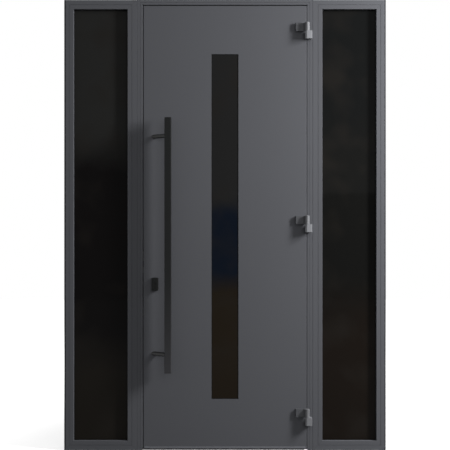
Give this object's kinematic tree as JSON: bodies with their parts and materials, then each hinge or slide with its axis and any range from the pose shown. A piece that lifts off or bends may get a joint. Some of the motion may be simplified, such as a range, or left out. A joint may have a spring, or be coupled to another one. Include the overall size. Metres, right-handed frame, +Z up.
{
  "type": "door with sidelights",
  "caption": "Flush outward-opening entrance door with a narrow glazed slot and a long pull bar, hung on surface hinges between two fixed glazed sidelights.",
  "frame": {"origin": "under the middle of the threshold, on the sill plane, midway through the frame's depth", "axes": "+X to the right seen from outside, +Y into the building, +Z up"},
  "size_m": [1.5, 0.179, 2.1],
  "materials": {
    "frame_paint": "matt anthracite powder coat",
    "leaf_paint": "matt anthracite powder coat",
    "handle_black": "satin black powder coat",
    "hinge_silver": "satin anodised",
    "bare_aluminium": "mill finish",
    "lock_steel": "brushed",
    "dark_glass": "clear, dark inside",
    "spacer": "black",
    "rubber": "black"
  },
  "bodies": {
    "frame": {"left_outer_stile": "frame_paint", "left_inner_stile": "frame_paint", "left_head_rail": "frame_paint", "left_sill_rail": "frame_paint", "left_bead_frame": "frame_paint", "left_glass_panes": "dark_glass", "left_glass_spacer": "spacer", "left_glazing_gasket": "rubber", "right_outer_stile": "frame_paint", "right_inner_stile": "frame_paint", "right_head_rail": "frame_paint", "right_sill_rail": "frame_paint", "right_bead_frame": "frame_paint", "right_glass_panes": "dark_glass", "right_glass_spacer": "spacer", "right_glazing_gasket": "rubber", "lock_jamb": "frame_paint", "door_head": "frame_paint", "hinge_jamb": "frame_paint", "threshold": "bare_aluminium", "stop_seal": "rubber", "strike_plate": "lock_steel", "upper_hinge_frame_block": "hinge_silver", "upper_hinge_pin": "lock_steel", "middle_hinge_frame_block": "hinge_silver", "middle_hinge_pin": "lock_steel", "lower_hinge_frame_block": "hinge_silver", "lower_hinge_pin": "lock_steel"},
    "leaf": {"upper_hinge_leaf_wing": "hinge_silver", "middle_hinge_leaf_wing": "hinge_silver", "lower_hinge_leaf_wing": "hinge_silver", "outer_skin": "leaf_paint", "inner_skin": "leaf_paint", "lock_stile": "leaf_paint", "hinge_stile": "leaf_paint", "leaf_top_rail": "leaf_paint", "leaf_bottom_rail": "leaf_paint", "drip_bar": "leaf_paint", "slot_lining": "rubber", "slot_panes": "dark_glass", "pull_bar": "handle_black", "upper_standoff": "handle_black", "lower_standoff": "handle_black", "outer_escutcheon": "handle_black", "lock_cylinder": "handle_black", "lever_plate": "lock_steel", "inner_lever": "lock_steel", "lock_faceplate": "lock_steel"}
  },
  "joints": [
    {"name": "leaf_swing", "type": "hinge", "parent": "frame", "child": "leaf", "pos_m": [0.38125, -0.06, 1.05], "axis": [0, 0, 1], "range_deg": [0, 110]}
  ]
}
